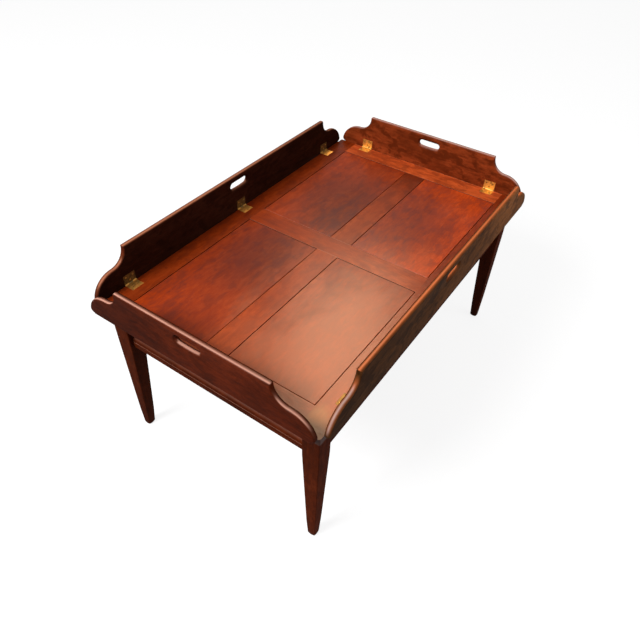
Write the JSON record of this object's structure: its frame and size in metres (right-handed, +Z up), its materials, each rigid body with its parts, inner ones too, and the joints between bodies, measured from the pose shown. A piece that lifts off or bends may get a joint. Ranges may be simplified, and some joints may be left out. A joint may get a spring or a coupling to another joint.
{
  "type": "butler's tray table",
  "caption": "Low coffee table with a framed and panelled tray top, hinged scroll-ended flaps with hand holes, brass hinges and tapered square legs.",
  "frame": {"origin": "on the floor under the middle of the table", "axes": "+X along the table to its right end, +Y across to the back long side, +Z up"},
  "size_m": [1.026, 0.6332, 0.536],
  "materials": {
    "flap_wood": "satin varnish",
    "frame_wood": "satin varnish",
    "panel_wood": "satin varnish",
    "base_wood": "satin varnish",
    "hidden_wood": "bare",
    "brass": "dull polish"
  },
  "bodies": {
    "base": {"leg_front_left": "base_wood", "leg_front_right": "base_wood", "leg_back_left": "base_wood", "leg_back_right": "base_wood", "apron_front": "base_wood", "bead_front": "base_wood", "apron_back": "base_wood", "bead_back": "base_wood", "apron_left": "base_wood", "bead_left": "base_wood", "apron_right": "base_wood", "bead_right": "base_wood", "corner_block_front_left": "hidden_wood", "corner_block_front_right": "hidden_wood", "corner_block_back_left": "hidden_wood", "corner_block_back_right": "hidden_wood"},
    "tray": {"stile_front": "frame_wood", "stile_back": "frame_wood", "end_rail_left": "frame_wood", "end_rail_right": "frame_wood", "cross_rail": "frame_wood", "muntin_left": "frame_wood", "muntin_right": "frame_wood", "panel_front_left": "panel_wood", "panel_front_right": "panel_wood", "panel_back_left": "panel_wood", "panel_back_right": "panel_wood", "batten_left": "hidden_wood", "batten_right": "hidden_wood", "tray_leaf_front_1": "brass", "tray_leaf_front_2": "brass", "tray_leaf_front_3": "brass", "tray_leaf_back_1": "brass", "tray_leaf_back_2": "brass", "tray_leaf_back_3": "brass", "tray_leaf_left_1": "brass", "tray_leaf_left_2": "brass", "tray_leaf_right_1": "brass", "tray_leaf_right_2": "brass"},
    "front_flap": {"flap_front": "flap_wood", "flap_leaf_front_1": "brass", "flap_leaf_front_2": "brass", "flap_leaf_front_3": "brass"},
    "back_flap": {"flap_back": "flap_wood", "flap_leaf_back_1": "brass", "flap_leaf_back_2": "brass", "flap_leaf_back_3": "brass"},
    "left_flap": {"flap_left": "flap_wood", "flap_leaf_left_1": "brass", "flap_leaf_left_2": "brass"},
    "right_flap": {"flap_right": "flap_wood", "flap_leaf_right_1": "brass", "flap_leaf_right_2": "brass"}
  },
  "joints": [
    {"name": "tray_lift", "type": "slide", "parent": "base", "child": "tray", "axis": [0, 0, 1], "range_m": [0, 0.15]},
    {"name": "front_flap_fold", "type": "hinge", "parent": "tray", "child": "front_flap", "pos_m": [0, -0.3036, 0.436], "axis": [1, 0, 0], "range_deg": [0, 90]},
    {"name": "back_flap_fold", "type": "hinge", "parent": "tray", "child": "back_flap", "pos_m": [0, 0.3036, 0.436], "axis": [-1, 0, 0], "range_deg": [0, 90]},
    {"name": "left_flap_fold", "type": "hinge", "parent": "tray", "child": "left_flap", "pos_m": [-0.5, 0, 0.436], "axis": [0, -1, 0], "range_deg": [0, 90]},
    {"name": "right_flap_fold", "type": "hinge", "parent": "tray", "child": "right_flap", "pos_m": [0.5, 0, 0.436], "axis": [0, 1, 0], "range_deg": [0, 90]}
  ]
}
